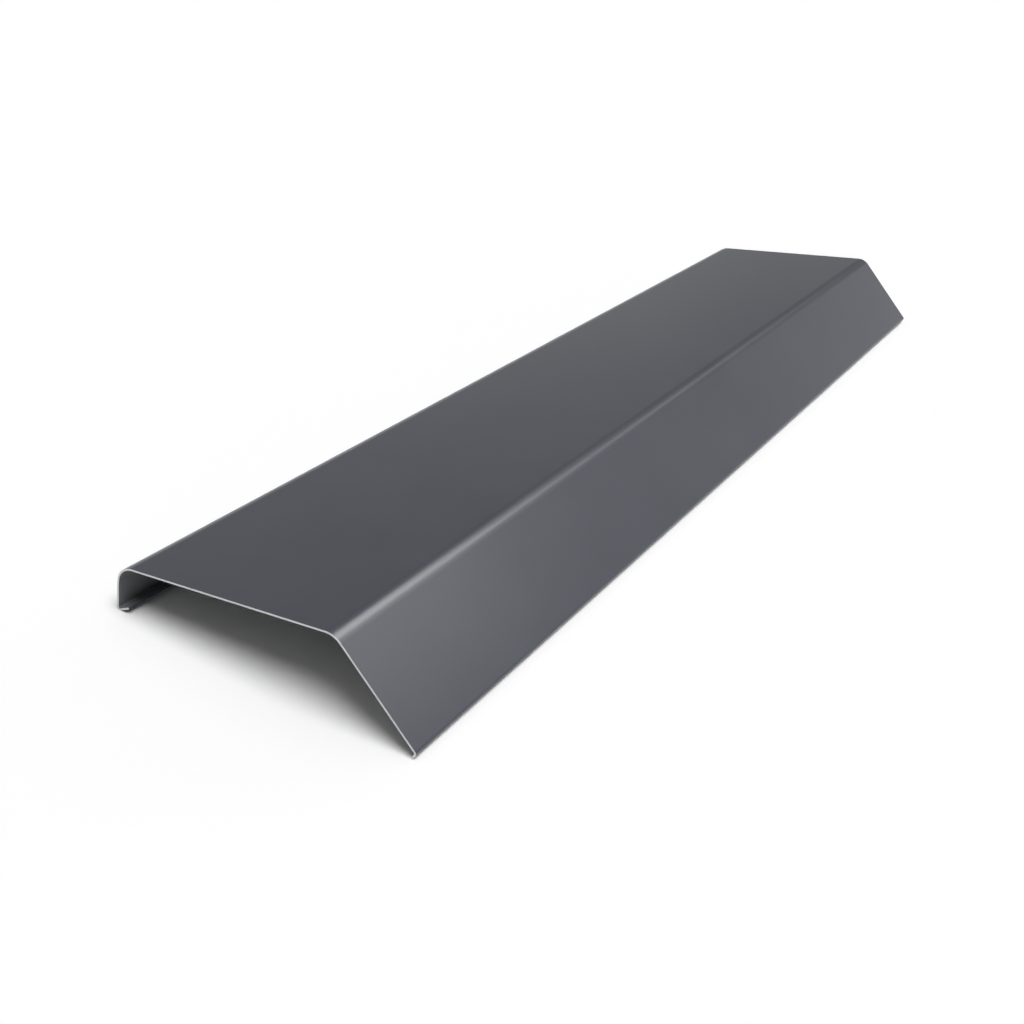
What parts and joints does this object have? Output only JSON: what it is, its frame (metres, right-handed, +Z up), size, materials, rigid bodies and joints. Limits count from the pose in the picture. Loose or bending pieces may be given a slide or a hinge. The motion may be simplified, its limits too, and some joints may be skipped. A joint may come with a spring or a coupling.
{
  "type": "roof hip cap",
  "caption": "Folded sheet-metal roof hip cap: broad flat top, short leg on one side, longer sloping leg on the other and a narrow inward return along each foot, square ends.",
  "frame": {"origin": "middle of the base, on the floor that the cap lies on", "axes": "+X across the cap towards its longer leg, +Y along its length, +Z up"},
  "size_m": [0.2618, 1, 0.0656],
  "materials": {
    "coated_sheet": "satin anthracite coating, bare bright metal on the cut ends"
  },
  "bodies": {
    "root": {"hip_cap": "coated_sheet"}
  },
  "joints": []
}
